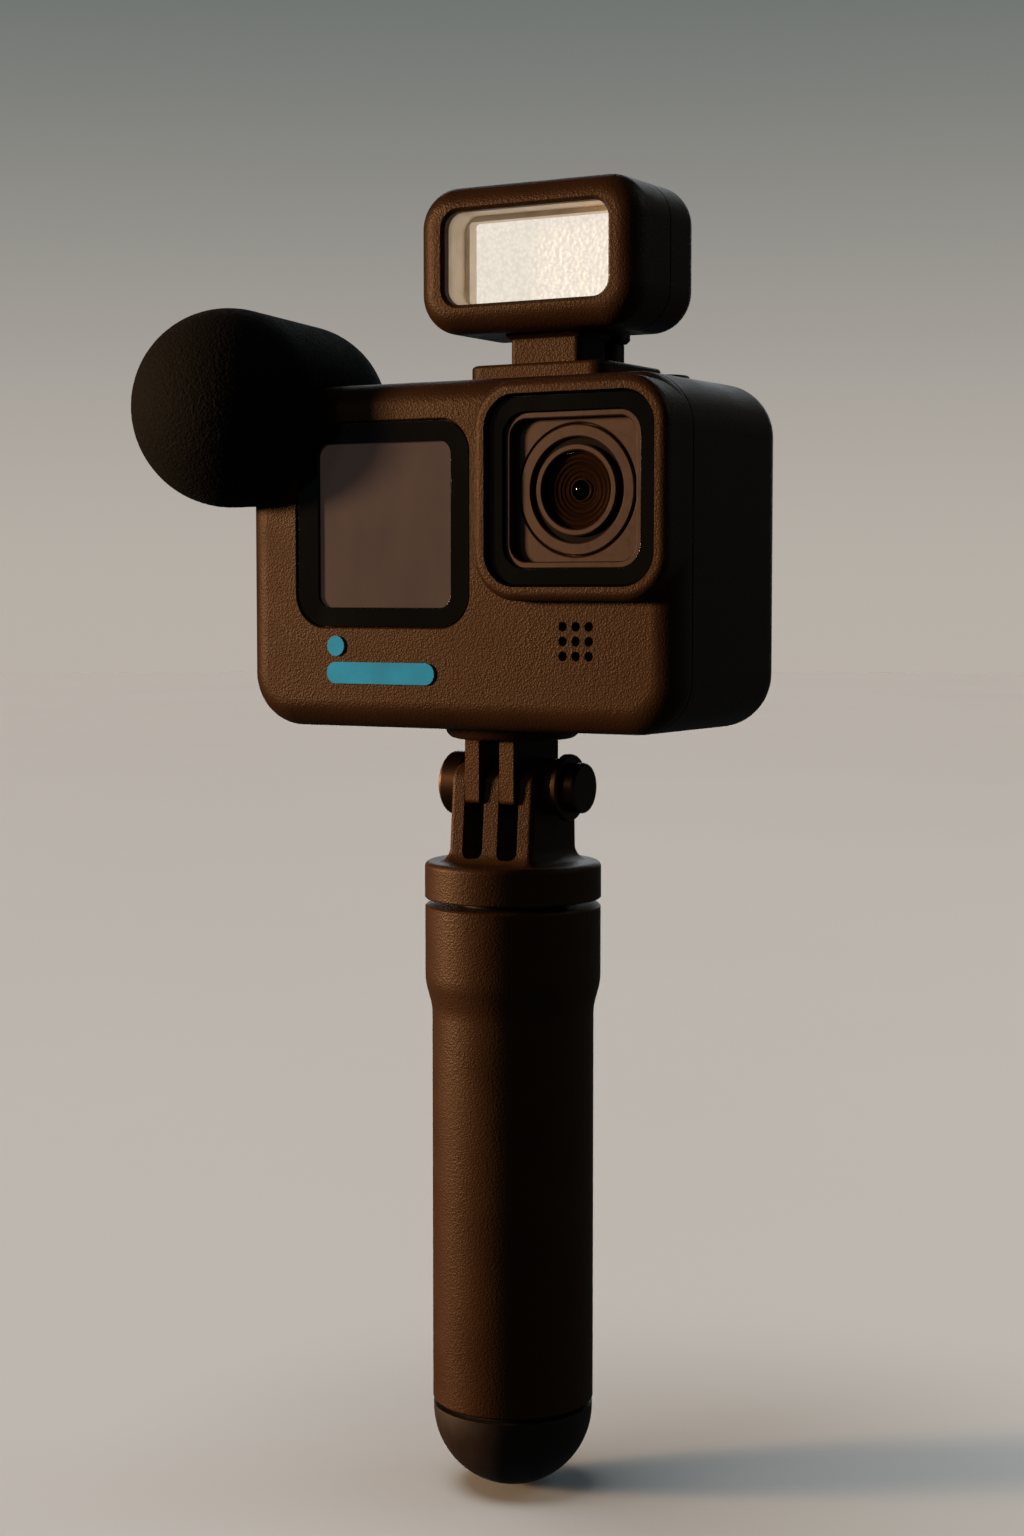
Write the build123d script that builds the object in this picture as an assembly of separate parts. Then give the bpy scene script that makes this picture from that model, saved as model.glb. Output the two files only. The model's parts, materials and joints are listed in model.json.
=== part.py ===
from build123d import *
import math
import os

# Action camera on a telescoping hand grip, with a small video light and a microphone windscreen.
# Millimetres. +Z is up, the lens looks along -Y, and the lens side of the front face is at +X.
# The origin is the middle of the grip's straight barrel, on the grip's axis.

# ---------------------------------------------------------------- driving dimensions
# grip
BARREL_R = 12.35                # straight part of the handle, where a hand or clamp goes
BARREL_LOW = -30.0              # ends of the straight barrel
BARREL_HIGH = 30.0
FLARE_HIGH = 36.0               # above this the handle has its wider top
HANDLE_TOP_R = 13.4
HANDLE_TOP = 46.8
HANDLE_BORE_R = 10.5
PLUG_LOW = -36.0                # plug in the handle's foot
PLUG_HIGH = -22.0
MID_TUBE_R = 8.5
MID_TUBE_BORE_R = 7.3
INNER_TUBE_R = 6.5
INNER_TUBE_BORE_R = 5.5
RUNNING = 0.05                  # radial clearance of every sliding or turning fit
CAP_R = 12.25                   # rubber end cap
CAP_GROOVE = 0.6                # gap between handle and end cap
CAP_STRAIGHT = 0.5
SLIDER_LENGTH = 5.0
HANDLE_BUSH_LENGTH = 8.0
MID_BUSH_LENGTH = 6.0
MID_TUBE_LOW = -21.0
MID_TUBE_HIGH = 47.1
INNER_TUBE_LOW = -20.0
INNER_TUBE_HIGH = 52.2

# pole head, its three prongs and the pivot
COLLAR_R = 13.45
COLLAR_ROUND = 0.9
COLLAR_LOW = 47.75
COLLAR_HIGH = 53.4
PIVOT_Z = 64.9
PRONG_TIP_R = 4.3
PRONG_FRONT = -7.3
PRONG_BACK = 7.1
PRONG_SHOULDERS = ((-3.2, 3.0), (3.9, 2.8))     # place along Y and radius of the rounded corners
PRONG_THICK = 2.5
PRONG_PITCH = 6.0
PRONG_EDGE = 0.8                # rounding of the prongs' outer upright edges
PRONG_FLARE = 2.2               # radius where the prongs run out into the collar
PRONG_SLOT_RISE = 0.7           # height of the slots' floors above the collar
BOSS_R = 4.3                    # boss on the right prong, under the knob
BOSS_END = 9.2
FINGER_THICK = 2.45
FINGER_FRONT = -7.1
FINGER_BACK = 6.5
FINGER_DROP = 2.4               # how far the fingers' square fronts reach below the pivot
PAD_R = 10.2                    # round pad of the fingers under the camera
PAD_THICK = 1.9
PAD_SCREW = 5.7
BOLT_R = 2.5
BOLT_END = 11.6                 # right end of the bolt's shaft, inside the knob
BOLT_HEAD_R = 4.9
BOLT_HEAD_THICK = 3.3
KNOB_FLANGE_R = 5.05
KNOB_FLANGE_THICK = 1.0
KNOB_R = 3.8
KNOB_END = 12.6

# camera body
BODY_W = 73.4
BODY_H = 51.0
BODY_LOW = 74.0                 # underside of the camera
FACE_Y = -18.0                  # front face
BACK_Y = 19.0                   # back face
BODY_CORNER = 8.0
FRONT_ROUND = 4.0
BACK_ROUND = 6.9
WALL = 1.8
SEAM_Y = -13.2                  # joint between front and rear shells
SEAM_GAP = 0.3
SEAM_DEPTH = 0.5
POST_R = 2.2                    # screw posts of the front shell
BACK_POST_R = 2.0
SCREW_R = 0.8
CASE_HEAD_R = 1.5
CHASSIS_SCREWS = [(-31.0, 79.6), (31.0, 79.6), (-31.0, 119.4), (4.0, 119.4)]
BACK_SCREWS = [(24.5, 85.5), (24.5, 113.5), (-24.5, 113.5)]
SPEAKER_X = 20.75
SPEAKER_Z = 87.2
SPEAKER_PITCH = 2.1
SPEAKER_HOLE_R = 0.68

# lens block, centred on the lens axis
LENS_X = 21.1
LENS_Z = 108.5
LENS_BLOCK = 31.2
LENS_BLOCK_CORNER = 6.75
LENS_BLOCK_FRONT = -21.2
LENS_FRAME = 27.0
LENS_FRAME_FRONT = -20.3
LENS_LIP = 22.0
LENS_POCKET = 20.1
LENS_SURROUND_FRONT = -19.75
LENS_FLOOR = -18.3
LENS_RING_R = 9.2
LENS_RING_FRONT = -18.5
LENS_BARREL_R = 7.35
LENS_NOSE_R = 6.5
LENS_NOSE_FRONT = -18.7
LENS_BORE_R = 5.5
BAFFLE_FRONT = -17.7
BAFFLE_BACK = -13.0
BAFFLE_STEPS = 6

# front window and the screen in it
WINDOW_X = -12.05
WINDOW_Z = 104.1
WINDOW_SIZE = 30.0
WINDOW_CORNER = 5.0
WINDOW_THICK = 1.0
WINDOW_DROP = 0.25              # how far the window sits below the casing's face
SCREEN_X = -11.8
SCREEN_Z = 104.0
SCREEN_W = 23.25
SCREEN_H = 24.2
SCREEN_DROP = 0.6

# back window and screen
BACK_WINDOW_W = 54.0
BACK_WINDOW_H = 34.0
BACK_SCREEN_W = 44.0
BACK_SCREEN_H = 28.0

# battery door on the left side, hinged along its lower edge
DOOR_LOW = 79.0                 # height of the hinge pin
DOOR_HIGH = 105.0
DOOR_FRONT = -10.0
DOOR_BACK = 11.5
DOOR_GAP = 0.3
DOOR_PIN_R = 0.7
DOOR_KNUCKLE_R = 1.0
DOOR_CORNER = 3.0
DOOR_PIN_REACH = 2.3            # length of the pin in the casing at each end
LATCH_Y = 0.75
LATCH_SLOT_LOW = 93.5
LATCH_SLOT_HIGH = 102.5
LATCH_RIBS = 3

# top buttons
SHUTTER_X = -12.0
MODE_X = 25.5
BUTTON_Y = 1.0
SHUTTER_R = 4.7
MODE_R = 3.2
BUTTON_PROUD = 0.6
BUTTON_GAP = 0.3
BUTTON_DEEP = 3.2
BUTTON_FLANGE_DEEP = 3.6

# video light and its shoe
LIGHT_X = 9.0
LIGHT_Z = 142.8
LIGHT_W = 37.0
LIGHT_H = 21.4
LIGHT_FRONT = -12.5
LIGHT_BACK = 8.0
LIGHT_SEAM = -2.2
LIGHT_WALL = 1.6
LIGHT_OPENING_W = 27.2
LIGHT_OPENING_H = 13.5
LIGHT_OPENING_Z = 142.9
LIGHT_FRONT_ROUND = 3.4
LIGHT_BACK_ROUND = 4.4
SHOE_W = 23.0
SHOE_FRONT = -9.5
SHOE_BACK = 10.5
SHOE_TOP = 127.5
SLOT_LOW = 125.5
SLOT_HIGH = 126.5
SLOT_W = 18.6
NECK_W = 12.8
STEM_W = 11.6
STEM_TOP = 133.0
LIGHT_SCREW_X = 15.7            # either side of the light's middle
LIGHT_SCREW_R = 0.6
LIGHT_BUTTON_X = 16.0
LIGHT_BUTTON_R = 2.5
SHOE_SCREW_X = 6.5              # either side of the light's middle
SHOE_SCREW_YS = (-6.5, 7.5)

# microphone on the top left corner and its foam
MIC_X = -40.0
MIC_Z = 124.5
MIC_R = 4.0
MIC_FRONT = -16.0
MIC_STUB_R = 3.2                # thinner rear end of the barrel, held by its bracket
MIC_STUB_FRONT = 9.5
MIC_STUB_BACK = 14.5
MIC_SCREW_Y = 10.7
MIC_SCREW_Z = (110.5, 115.5)
FOAM_X = -38.2
FOAM_Z = 122.0
FOAM_NOSE_Y = -19.5
FOAM_NOSE_R = 15.0
FOAM_TAIL_Y = -1.8
FOAM_TAIL_R = 14.1
FOAM_END = 9.0
FOAM_RELIEF = 0.4

# worked out from the above
BODY_TOP = BODY_LOW + BODY_H
BODY_MID_Z = BODY_LOW + BODY_H / 2
SIDE_X = BODY_W / 2
INNER_FRONT = FACE_Y + WALL
INNER_BACK = BACK_Y - WALL
BOARD_Y = -4.6                  # front of the main board
CHASSIS_Y = -3.2                # front of the chassis plate
CHASSIS_THICK = 1.2


# ---------------------------------------------------------------- drawing helpers
def rounded(width, height, radius, x=0.0, z=0.0):
    """A rounded rectangle centred on x, z."""
    return Pos(x, z) * RectangleRounded(width, height, radius)


def disc(radius, x=0.0, z=0.0):
    """A circle centred on x, z."""
    return Pos(x, z) * Circle(radius)


def along_x(outline, left, right):
    """A solid from an outline drawn in Y and Z, between two X positions."""
    return extrude(Plane.YZ.offset(left) * outline, amount=right - left)


def along_y(outline, front, back):
    """A solid from an outline drawn in X and Z, between two Y positions."""
    return extrude(Plane.XZ.offset(-back) * outline, amount=back - front)


def along_z(outline, low, high):
    """A solid from an outline drawn in X and Y, between two Z positions."""
    return extrude(Plane.XY.offset(low) * outline, amount=high - low)


def turned(points):
    """A solid turned about the grip's axis from radius and height points."""
    return revolve(Plane.XZ * make_face(Polyline(*points, close=True)), Axis.Z)


def sleeve(outer, inner, low, high):
    """A plain tube on the grip's axis."""
    return along_z(Circle(outer) - Circle(inner), low, high)


def front_edges(solid):
    """Edges of the face that looks furthest along -Y."""
    return solid.faces().sort_by(Axis.Y)[0].edges()


def back_edges(solid):
    """Edges of the face that looks furthest along +Y."""
    return solid.faces().sort_by(Axis.Y)[-1].edges()


def pad_screw_places():
    """Centres of the screws that hold the mounting fingers."""
    return [(PAD_SCREW * x, PAD_SCREW * y) for x in (-1, 1) for y in (-1, 1)]


def shoe_screw_places():
    """Centres of the screws that hold the accessory shoe."""
    return [(LIGHT_X + SHOE_SCREW_X * x, y) for x in (-1, 1) for y in SHOE_SCREW_YS]


def save(name, shape):
    """Write one sub-part."""
    export_step(shape, os.path.join("parts", name + ".step"))


# ---------------------------------------------------------------- grip
def handle_shell():
    """Moulded handle: straight barrel, flared top, bored for the poles."""
    outline = Polyline(
        (BARREL_R, BARREL_HIGH), (BARREL_R, BARREL_LOW + 0.4), (BARREL_R - 0.4, BARREL_LOW),
        (HANDLE_BORE_R, BARREL_LOW), (HANDLE_BORE_R, HANDLE_TOP), (HANDLE_TOP_R - 0.3, HANDLE_TOP),
        (HANDLE_TOP_R, HANDLE_TOP - 0.3), (HANDLE_TOP_R, FLARE_HIGH),
    )
    flare = Spline(
        (HANDLE_TOP_R, FLARE_HIGH), (BARREL_R, BARREL_HIGH), tangents=((0, -1), (0, -1))
    )
    return revolve(Plane.XZ * make_face(outline + flare), Axis.Z)


def end_plug():
    """Plug screwed into the handle's foot, which also holds the end cap."""
    return along_z(Circle(HANDLE_BORE_R), PLUG_LOW, PLUG_HIGH)


def end_cap():
    """Domed rubber cap over the plug."""
    rim = BARREL_LOW - CAP_GROOVE
    dome_z = rim - CAP_STRAIGHT
    lines = Polyline((0, dome_z - CAP_R), (0, rim), (CAP_R, rim), (CAP_R, dome_z))
    dome = RadiusArc((CAP_R, dome_z), (0, dome_z - CAP_R), CAP_R)
    cap = revolve(Plane.XZ * make_face(lines + dome), Axis.Z)
    return cap - along_z(Circle(HANDLE_BORE_R), PLUG_LOW, rim)


def pole_head():
    """Collar with three prongs, moulded in one piece."""
    collar = turned([
        (0, COLLAR_LOW), (COLLAR_R - 0.2, COLLAR_LOW), (COLLAR_R, COLLAR_LOW + 0.2),
        (COLLAR_R, COLLAR_HIGH), (0, COLLAR_HIGH),
    ])
    collar = fillet(collar.faces().sort_by(Axis.Z)[-1].edges(), COLLAR_ROUND)
    half_width = PRONG_PITCH + PRONG_THICK / 2
    outline = Polyline((PRONG_FRONT, COLLAR_HIGH - 1), (PRONG_BACK, COLLAR_HIGH - 1)).edges()
    outline += (Pos(0, PIVOT_Z) * Circle(PRONG_TIP_R)).edges()
    for y, radius in PRONG_SHOULDERS:
        outline += (Pos(y, PIVOT_Z + 0.4) * Circle(radius)).edges()
    block = along_x(make_hull(outline), -half_width, half_width)
    outer = block.edges().filter_by(lambda edge: abs(abs(edge.center().X) - half_width) < 0.01)
    block = fillet(outer.filter_by(lambda edge: edge.center().Z > COLLAR_HIGH), PRONG_EDGE)
    head = collar + block
    root = head.edges().filter_by(
        lambda edge: abs(edge.center().Z - COLLAR_HIGH) < 0.01
        and edge.length < 18.0
    )
    head = fillet(root, PRONG_FLARE)
    for slot_x in (-PRONG_PITCH / 2, PRONG_PITCH / 2):
        slot = rounded(PRONG_PITCH - PRONG_THICK, 40, 1.2, slot_x, COLLAR_HIGH + PRONG_SLOT_RISE + 20)
        head -= along_y(slot, -20, 20)
    head += along_x(disc(BOSS_R, 0, PIVOT_Z), half_width - 0.5, BOSS_END)
    head -= along_x(disc(BOLT_R + RUNNING, 0, PIVOT_Z), -20, 20)
    return head - along_z(Circle(INNER_TUBE_R), COLLAR_LOW, INNER_TUBE_HIGH)


def pivot_bolt():
    """Bolt through prongs and fingers: a plain round head on the left, shaft to the right."""
    left = -(PRONG_PITCH + PRONG_THICK / 2)
    head = along_x(disc(BOLT_HEAD_R, 0, PIVOT_Z), left - BOLT_HEAD_THICK, left)
    head = fillet(head.faces().sort_by(Axis.X)[0].edges(), 0.6)
    return head + along_x(disc(BOLT_R, 0, PIVOT_Z), left, BOLT_END)


def clamp_knob():
    """Round knob on the bolt's right end, with a wider flange."""
    low = BOSS_END + 0.1
    middle = low + KNOB_FLANGE_THICK
    flange = along_x(disc(KNOB_FLANGE_R, 0, PIVOT_Z), low, middle)
    flange = fillet(flange.faces().sort_by(Axis.X)[-1].edges(), 0.4)
    grip = along_x(disc(KNOB_R, 0, PIVOT_Z), middle, KNOB_END)
    grip = fillet(grip.faces().sort_by(Axis.X)[-1].edges(), 0.5)
    return flange + grip - along_x(disc(BOLT_R + RUNNING, 0, PIVOT_Z), low, BOLT_END + 0.2)


# ---------------------------------------------------------------- camera casing
def body_form(grow=0.0):
    """Outside form of the camera's casing without the lens block."""
    outline = rounded(BODY_W + 2 * grow, BODY_H + 2 * grow, BODY_CORNER + grow, 0, BODY_MID_Z)
    form = along_y(outline, FACE_Y - grow, BACK_Y + grow)
    form = fillet(front_edges(form), FRONT_ROUND)
    return fillet(back_edges(form), BACK_ROUND)


def lens_block():
    """Square block round the lens, as deep as the front shell."""
    outline = rounded(LENS_BLOCK, LENS_BLOCK, LENS_BLOCK_CORNER, LENS_X, LENS_Z)
    return fillet(front_edges(along_y(outline, LENS_BLOCK_FRONT, SEAM_Y)), 1.3)


def seam_ring():
    """Shallow groove that runs round the casing at its seam."""
    outer = rounded(BODY_W + 4, BODY_H + 4, BODY_CORNER + 2, 0, BODY_MID_Z)
    inner = rounded(
        BODY_W - 2 * SEAM_DEPTH, BODY_H - 2 * SEAM_DEPTH, BODY_CORNER - SEAM_DEPTH, 0, BODY_MID_Z
    )
    return along_y(outer - inner, SEAM_Y - SEAM_GAP / 2, SEAM_Y + SEAM_GAP / 2)


def on_window_rim(edge):
    """Whether an edge of the front shell is on the rim of the window's pocket."""
    centre = edge.center()
    reach = WINDOW_SIZE / 2 + 0.5
    near = abs(centre.X - WINDOW_X) < reach and abs(centre.Z - WINDOW_Z) < reach
    return near and abs(centre.Y - FACE_Y) < 0.01


def front_shell():
    """Front half of the casing, with the lens block, screen pocket and speaker holes."""
    front_space = along_y(Pos(0, BODY_MID_Z) * Rectangle(100, 100), -40, SEAM_Y)
    shell = (body_form() & front_space) + lens_block()
    shell -= seam_ring()
    inside = rounded(BODY_W - 2 * WALL, BODY_H - 2 * WALL, BODY_CORNER - WALL, 0, BODY_MID_Z)
    shell -= along_y(inside, INNER_FRONT, SEAM_Y)
    for x, z in CHASSIS_SCREWS:
        shell += along_y(disc(POST_R, x, z), INNER_FRONT, CHASSIS_Y)
        shell -= along_y(disc(SCREW_R, x, z), -12.0, CHASSIS_Y)
    opening = rounded(LENS_FRAME + 0.2, LENS_FRAME + 0.2, LENS_BLOCK_CORNER - 1.8, LENS_X, LENS_Z)
    shell -= along_y(opening, LENS_BLOCK_FRONT, -13.0)
    pocket = rounded(WINDOW_SIZE + 0.3, WINDOW_SIZE + 0.3, WINDOW_CORNER, WINDOW_X, WINDOW_Z)
    shell -= along_y(pocket, FACE_Y, FACE_Y + WINDOW_THICK)
    shell = chamfer(shell.edges().filter_by(on_window_rim), 0.2)
    screen = rounded(SCREEN_W + 0.1, SCREEN_H + 0.1, 2.0, SCREEN_X, SCREEN_Z)
    shell -= along_y(screen, FACE_Y, INNER_FRONT)
    for column in (-1, 0, 1):
        for row in (-1, 0, 1):
            x = SPEAKER_X + SPEAKER_PITCH * column
            z = SPEAKER_Z + SPEAKER_PITCH * row
            hole = disc(SPEAKER_HOLE_R, x, z)
            shell -= along_y(hole, FACE_Y, INNER_FRONT)
    return shell


def rear_shell():
    """Rear half of the casing, open at the battery door, buttons and back window."""
    rear_space = along_y(Pos(0, BODY_MID_Z) * Rectangle(100, 100), SEAM_Y, 40)
    shell = (body_form() & rear_space) - seam_ring()
    inside = rounded(BODY_W - 2 * WALL, BODY_H - 2 * WALL, BODY_CORNER - WALL, 0, BODY_MID_Z)
    cavity = along_y(inside, SEAM_Y, INNER_BACK)
    cavity = fillet(back_edges(cavity), BACK_ROUND - WALL)
    shell -= cavity
    door_hole = rounded(
        DOOR_BACK - DOOR_FRONT + 2 * DOOR_GAP,
        DOOR_HIGH - DOOR_LOW + DOOR_KNUCKLE_R + 2 * DOOR_GAP,
        DOOR_CORNER + DOOR_GAP,
        (DOOR_FRONT + DOOR_BACK) / 2,
        (DOOR_LOW - DOOR_KNUCKLE_R + DOOR_HIGH) / 2,
    )
    knuckle_space = Pos((DOOR_FRONT + DOOR_BACK) / 2, DOOR_LOW + 1.0) * Rectangle(
        DOOR_BACK - DOOR_FRONT + 2 * DOOR_GAP, 2 * (DOOR_KNUCKLE_R + 1.3)
    )
    shell -= along_x(door_hole + knuckle_space, -40, -SIDE_X + WALL + 2)
    pin_hole = along_y(
        disc(DOOR_PIN_R, -SIDE_X + DOOR_KNUCKLE_R, DOOR_LOW),
        DOOR_FRONT - DOOR_PIN_REACH, DOOR_BACK + DOOR_PIN_REACH,
    )
    shell -= pin_hole
    for x, radius in ((SHUTTER_X, SHUTTER_R), (MODE_X, MODE_R)):
        shell -= along_z(disc(radius + BUTTON_GAP, x, BUTTON_Y), BODY_TOP - WALL - 1, BODY_TOP)
    window = rounded(BACK_WINDOW_W + 0.1, BACK_WINDOW_H + 0.1, 3.0, 0, BODY_MID_Z)
    shell -= along_y(window, BACK_Y - WINDOW_THICK, BACK_Y)
    screen = rounded(BACK_SCREEN_W + 0.1, BACK_SCREEN_H + 0.1, 1.5, 0, BODY_MID_Z)
    shell -= along_y(screen, INNER_BACK, BACK_Y)
    for x, z in BACK_SCREWS:
        shell += along_y(disc(BACK_POST_R, x, z), CHASSIS_Y + CHASSIS_THICK, INNER_BACK)
        shell -= along_y(disc(SCREW_R, x, z), 6.0, BACK_Y - WINDOW_THICK)
        shell -= along_y(disc(CASE_HEAD_R + 0.1, x, z), INNER_BACK + 0.1, BACK_Y - WINDOW_THICK)
    for x, y in shoe_screw_places():
        shell -= along_z(disc(SCREW_R, x, y), BODY_TOP - WALL, BODY_TOP)
    for x, y in pad_screw_places():
        shell -= along_z(disc(SCREW_R, x, y), BODY_LOW, BODY_LOW + WALL)
    for z in MIC_SCREW_Z:
        shell -= along_x(disc(0.9, MIC_SCREW_Y, z), -SIDE_X - 1, -SIDE_X + WALL + 1)
    return shell


def window_plate(width, height, corner, hole, x, z, front, back):
    """Glossy cover plate with an opening for its screen."""
    return along_y(rounded(width, height, corner, x, z) - hole, front, back)


def front_window():
    hole = rounded(SCREEN_W + 0.1, SCREEN_H + 0.1, 2.0, SCREEN_X, SCREEN_Z)
    return window_plate(
        WINDOW_SIZE, WINDOW_SIZE, WINDOW_CORNER, hole, WINDOW_X, WINDOW_Z,
        FACE_Y + WINDOW_DROP, FACE_Y + WINDOW_THICK,
    )


def front_display():
    outline = rounded(SCREEN_W, SCREEN_H, 1.95, SCREEN_X, SCREEN_Z)
    return along_y(outline, FACE_Y + WINDOW_DROP + SCREEN_DROP, -14.4)


def rear_window():
    hole = rounded(BACK_SCREEN_W + 0.1, BACK_SCREEN_H + 0.1, 1.5, 0, BODY_MID_Z)
    return window_plate(
        BACK_WINDOW_W, BACK_WINDOW_H, 3.0, hole, 0, BODY_MID_Z, BACK_Y - WINDOW_THICK, BACK_Y
    )


def rear_display():
    outline = rounded(BACK_SCREEN_W, BACK_SCREEN_H, 1.45, 0, BODY_MID_Z)
    return along_y(outline, 14.4, BACK_Y - SCREEN_DROP)


def badge():
    """Plain raised mark: a bar with a dot above its left end."""
    bar = rounded(18.9, 3.2, 1.55, -12.15, 82.2)
    dot = disc(1.5, -20.0, 86.2)
    return along_y(bar, FACE_Y - 0.35, FACE_Y) + along_y(dot, FACE_Y - 0.35, FACE_Y)


# ---------------------------------------------------------------- lens
def lens_frame():
    """Black frame in the mouth of the lens block."""
    outline = rounded(LENS_FRAME, LENS_FRAME, LENS_BLOCK_CORNER - 1.9, LENS_X, LENS_Z)
    hole = rounded(LENS_LIP + 0.1, LENS_LIP + 0.1, 3.6, LENS_X, LENS_Z)
    frame = along_y(outline - hole, LENS_FRAME_FRONT, -17.5)
    rim = frame.faces().sort_by(Axis.Y)[0].outer_wire().edges()
    return chamfer(rim, 0.3)


def lens_surround():
    """Square dish behind the frame, with a lip, a flat floor and a seat for the ring."""
    dish = along_y(rounded(LENS_LIP, LENS_LIP, 3.5, LENS_X, LENS_Z), LENS_SURROUND_FRONT, -17.5)
    dish -= along_y(
        rounded(LENS_POCKET, LENS_POCKET, 2.6, LENS_X, LENS_Z), LENS_SURROUND_FRONT, LENS_FLOOR
    )
    dish = chamfer(dish.faces().sort_by(Axis.Y)[0].edges(), 0.15)
    dish += along_y(rounded(LENS_FRAME, LENS_FRAME, 4.8, LENS_X, LENS_Z), -17.5, -16.3)
    dish -= along_y(disc(LENS_RING_R + 0.15, LENS_X, LENS_Z), LENS_FLOOR, -17.5)
    seat = dish.edges().filter_by(GeomType.CIRCLE).filter_by(
        lambda edge: edge.radius > 9.0 and abs(edge.center().Y - LENS_FLOOR) < 0.01
    )
    dish = chamfer(seat, 0.2)
    return dish - along_y(disc(LENS_BARREL_R, LENS_X, LENS_Z), -18.0, -16.0)


def lens_ring():
    """Low ring seated in the dish."""
    outline = disc(LENS_RING_R, LENS_X, LENS_Z) - disc(LENS_BARREL_R + 0.05, LENS_X, LENS_Z)
    ring = along_y(outline, LENS_RING_FRONT, -17.5)
    return chamfer(front_edges(ring), 0.2)


def lens_barrel():
    """Barrel with a narrower nose, bored for the glass."""
    barrel = along_y(disc(LENS_BARREL_R, LENS_X, LENS_Z), -17.9, -8.4)
    barrel -= along_y(disc(LENS_BORE_R, LENS_X, LENS_Z), -17.9, BAFFLE_BACK)
    outline = disc(LENS_NOSE_R, LENS_X, LENS_Z) - disc(LENS_BORE_R, LENS_X, LENS_Z)
    barrel += chamfer(front_edges(along_y(outline, LENS_NOSE_FRONT, -17.9)), 0.2)
    return barrel - along_y(disc(4.0, LENS_X, LENS_Z), BAFFLE_BACK, -8.4)


def dished(radius, front, back, sag):
    """A glass disc with a convex front."""
    glass = along_y(disc(radius, LENS_X, LENS_Z), front, back)
    ball_r = (radius * radius + sag * sag) / (2 * sag)
    return glass & (Pos(LENS_X, front + ball_r, LENS_Z) * Sphere(ball_r))


def lens_baffle():
    """Stepped light trap that closes in on the small inner element."""
    baffle = along_y(disc(LENS_BORE_R, LENS_X, LENS_Z), BAFFLE_FRONT, BAFFLE_BACK)
    for step in range(BAFFLE_STEPS):
        radius = 5.1 - 0.62 * step
        floor_y = BAFFLE_FRONT + 0.15 + 0.13 * step
        baffle -= along_y(disc(radius, LENS_X, LENS_Z), BAFFLE_FRONT, floor_y)
    return baffle - along_y(disc(1.45, LENS_X, LENS_Z), BAFFLE_FRONT, BAFFLE_BACK)


# ---------------------------------------------------------------- inside the camera
def plate_with_clearance(width, height, corner, front, back, post_r):
    """Plate across the inside, notched round the posts of both shells."""
    plate = along_y(rounded(width, height, corner, 0, BODY_MID_Z), front, back)
    for x, z in CHASSIS_SCREWS + BACK_SCREWS:
        plate -= along_y(disc(post_r, x, z), front, back)
    return plate


def chassis():
    """Aluminium plate that carries the board, the lens and both screens."""
    return plate_with_clearance(67.0, 42.8, 5.0, CHASSIS_Y, CHASSIS_Y + CHASSIS_THICK, 0.85)


def main_board():
    """Circuit board on the chassis, with its larger chips."""
    board = plate_with_clearance(66.4, 42.4, 4.5, BOARD_Y, BOARD_Y + 1.2, 2.6)
    for x, z, width, height in ((-7, 110, 13, 13), (-4, 90, 10, 8), (-20, 110, 8, 10), (6, 82, 7, 5)):
        board += along_y(Pos(x, z) * Rectangle(width, height), BOARD_Y - 1.0, BOARD_Y)
    return board


def sensor_board():
    return along_y(rounded(24, 24, 2, LENS_X, LENS_Z), -7.4, -6.4)


def image_sensor():
    return along_y(Pos(LENS_X, LENS_Z) * Rectangle(7.2, 5.6), -8.2, -7.4)


def speaker():
    return along_y(rounded(11, 9, 2, SPEAKER_X, SPEAKER_Z), INNER_FRONT, -13.4)


def usb_port():
    """Metal shell of the charging socket, open to the left."""
    shell = along_x(rounded(3.4, 9.2, 1.6, -7.2, 97.5), -33.6, -26.6)
    return shell - along_x(rounded(2.6, 8.4, 1.2, -7.2, 97.5), -33.6, -27.6)


def memory_card():
    return along_x(Pos(-7.2, 87.4) * Rectangle(0.8, 11.0), -33.4, -18.4)


def battery():
    form = Pos(-12.6, 4.7, 92.0) * Box(41.6, 11.4, 23.6)
    return fillet(form.edges(), 1.2)


def case_screws():
    """Screws that hold the chassis to the front shell, and the rear shell to the chassis."""
    screws = []
    head_y = CHASSIS_Y + CHASSIS_THICK
    for x, z in CHASSIS_SCREWS:
        shank = along_y(disc(SCREW_R, x, z), -12.0, head_y)
        screws.append(shank + along_y(disc(CASE_HEAD_R, x, z), head_y, head_y + 0.8))
    head_y = INNER_BACK + 0.1
    for x, z in BACK_SCREWS:
        shank = along_y(disc(SCREW_R, x, z), 6.0, head_y)
        screws.append(shank + along_y(disc(CASE_HEAD_R, x, z), head_y, head_y + 0.6))
    return Compound(children=screws)


# ---------------------------------------------------------------- battery door
def door_outline(inset=0.0):
    """The door's outline in Y and Z, above the hinge."""
    width = DOOR_BACK - DOOR_FRONT - 2 * inset
    height = DOOR_HIGH - DOOR_LOW - 2 * inset
    return rounded(
        width, height, DOOR_CORNER - inset * 0.6,
        (DOOR_FRONT + DOOR_BACK) / 2, (DOOR_LOW + DOOR_HIGH) / 2,
    )


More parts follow.
